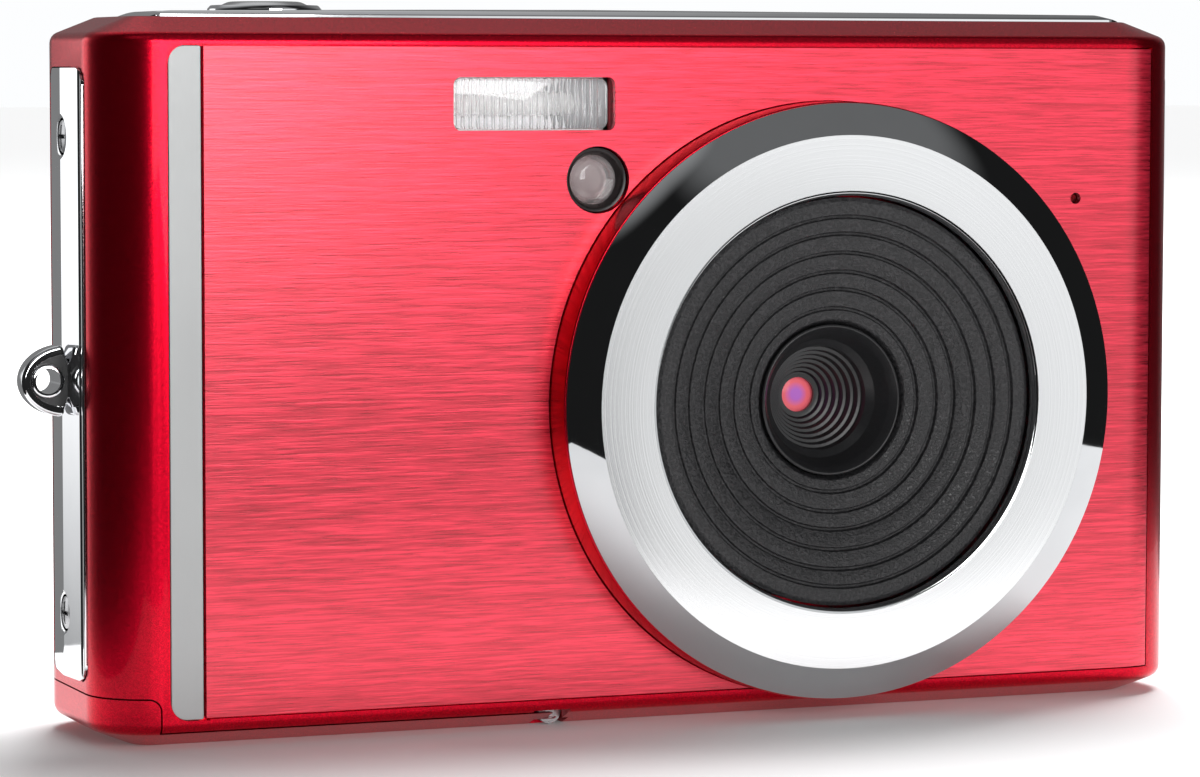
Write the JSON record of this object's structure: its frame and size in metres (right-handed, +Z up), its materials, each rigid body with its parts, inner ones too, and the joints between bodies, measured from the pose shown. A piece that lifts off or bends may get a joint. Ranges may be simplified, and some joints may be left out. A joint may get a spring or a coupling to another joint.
{
  "type": "compact digital camera",
  "caption": "Slim fixed-lens pocket camera: red shell with brushed front panel, raised lens ring, flash, display, keys, strap eye and a sliding, swinging battery door.",
  "frame": {"origin": "middle of the underside, on the flat face that the camera stands on", "axes": "+X to the right seen from the front, -Y the way the lens looks, +Z up"},
  "size_m": [0.0967, 0.0244, 0.0564],
  "materials": {
    "red_shell": "glossy metallic red paint",
    "red_gloss": "glossy red",
    "silver_shell": "satin silver paint",
    "brushed_red": "red anodised, brushed along its length",
    "silver_strip": "satin silver",
    "ring_metal": "spun face with polished bevels",
    "black_grain": "fine grain",
    "black_satin": "satin",
    "lens_glass": "coated",
    "clear": "clear moulded",
    "chip": "matt",
    "board": "solder mask",
    "bright_chrome": "mirror",
    "button_metal": "satin chrome",
    "steel": "plain",
    "battery_wrap": "printed wrap left blank",
    "screen_glass": "black-backed glass",
    "key_plastic": "satin silver paint"
  },
  "bodies": {
    "root": {"front_shell": "red_shell", "rear_shell": "silver_shell", "front_panel": "brushed_red", "silver_trim_strip": "silver_strip", "lens_boss": "red_gloss", "lens_ring": "ring_metal", "lens_surround": "black_grain", "lens_barrel": "black_satin", "front_lens": "lens_glass", "rear_lens": "lens_glass", "lens_holder": "black_satin", "ir_filter": "lens_glass", "image_sensor": "chip", "sensor_board": "board", "flash_window": "clear", "flash_reflector": "bright_chrome", "flash_tube": "clear", "flash_capacitor": "black_satin", "lamp_window": "clear", "timer_lamp": "clear", "microphone": "steel", "speaker": "steel", "left_side_trim": "bright_chrome", "left_side_trim_lower_screw": "steel", "left_side_trim_upper_screw": "steel", "right_side_trim": "bright_chrome", "right_side_trim_lower_screw": "steel", "right_side_trim_upper_screw": "steel", "strap_lug": "bright_chrome", "top_plate": "bright_chrome", "shutter_bezel": "bright_chrome", "top_board": "board", "shutter_spring": "steel", "battery_box": "black_satin", "battery": "battery_wrap", "card_slot": "steel", "main_board": "board", "processor": "chip", "usb_port": "steel", "tripod_bush": "steel", "bottom_screw_inner": "steel", "bottom_screw_outer": "steel", "lcd_window": "screen_glass", "lcd_frame": "steel", "lcd_panel": "screen_glass", "key_board": "board"},
    "shutter": {"shutter_button": "button_metal"},
    "power": {"power_button": "button_metal"},
    "zoom": {"zoom_rocker": "key_plastic"},
    "mode": {"mode_button": "key_plastic"},
    "playback": {"playback_button": "key_plastic"},
    "menu": {"menu_button": "key_plastic"},
    "delete": {"delete_button": "key_plastic"},
    "pad_pivot": {"nav_pivot": "black_satin"},
    "pad": {"nav_pad": "key_plastic"},
    "ok": {"ok_button": "key_plastic"},
    "door_slider": {"hinge_bracket": "steel", "hinge_pin": "steel"},
    "door": {"battery_door": "red_shell"},
    "catch": {"battery_catch": "silver_shell"}
  },
  "joints": [
    {"name": "shutter_press", "type": "slide", "parent": "root", "child": "shutter", "axis": [0, 0, -1], "range_m": [0, 0.0009], "stiffness_N_per_m": 200, "deforming": ["shutter_spring"]},
    {"name": "power_press", "type": "slide", "parent": "root", "child": "power", "axis": [0, 0, -1], "range_m": [0, 0.0005], "stiffness_N_per_m": 200},
    {"name": "zoom_rock", "type": "hinge", "parent": "root", "child": "zoom", "pos_m": [-0.03, 0.0088, 0.046], "axis": [0, 0, 1], "range_deg": [-3, 3], "stiffness_Nm_per_rad": 0.002},
    {"name": "mode_press", "type": "slide", "parent": "root", "child": "mode", "axis": [0, -1, 0], "range_m": [0, 0.0004], "stiffness_N_per_m": 200},
    {"name": "playback_press", "type": "slide", "parent": "root", "child": "playback", "axis": [0, -1, 0], "range_m": [0, 0.0004], "stiffness_N_per_m": 200},
    {"name": "menu_press", "type": "slide", "parent": "root", "child": "menu", "axis": [0, -1, 0], "range_m": [0, 0.0004], "stiffness_N_per_m": 200},
    {"name": "delete_press", "type": "slide", "parent": "root", "child": "delete", "axis": [0, -1, 0], "range_m": [0, 0.0004], "stiffness_N_per_m": 200},
    {"name": "pad_tilt_up_down", "type": "hinge", "parent": "root", "child": "pad_pivot", "pos_m": [-0.03, 0.0086, 0.024], "axis": [1, 0, 0], "range_deg": [-2.5, 2.5], "stiffness_Nm_per_rad": 0.005},
    {"name": "pad_tilt_left_right", "type": "hinge", "parent": "pad_pivot", "child": "pad", "pos_m": [-0.03, 0.0086, 0.024], "axis": [0, 0, 1], "range_deg": [-2.5, 2.5], "stiffness_Nm_per_rad": 0.005},
    {"name": "ok_press", "type": "slide", "parent": "root", "child": "ok", "axis": [0, -1, 0], "range_m": [0, 0.0004], "stiffness_N_per_m": 200},
    {"name": "door_slide", "type": "slide", "parent": "root", "child": "door_slider", "axis": [-1, 0, 0], "range_m": [0, 0.0025]},
    {"name": "door_swing", "type": "hinge", "parent": "door_slider", "child": "door", "pos_m": [-0.00935, 0, 0.00105], "axis": [0, -1, 0], "range_deg": [0, 95]},
    {"name": "catch_swing", "type": "hinge", "parent": "root", "child": "catch", "pos_m": [-0.0096, -0.004, 0.01], "axis": [0, -1, 0], "range_deg": [0, 12], "stiffness_Nm_per_rad": 0.002}
  ]
}
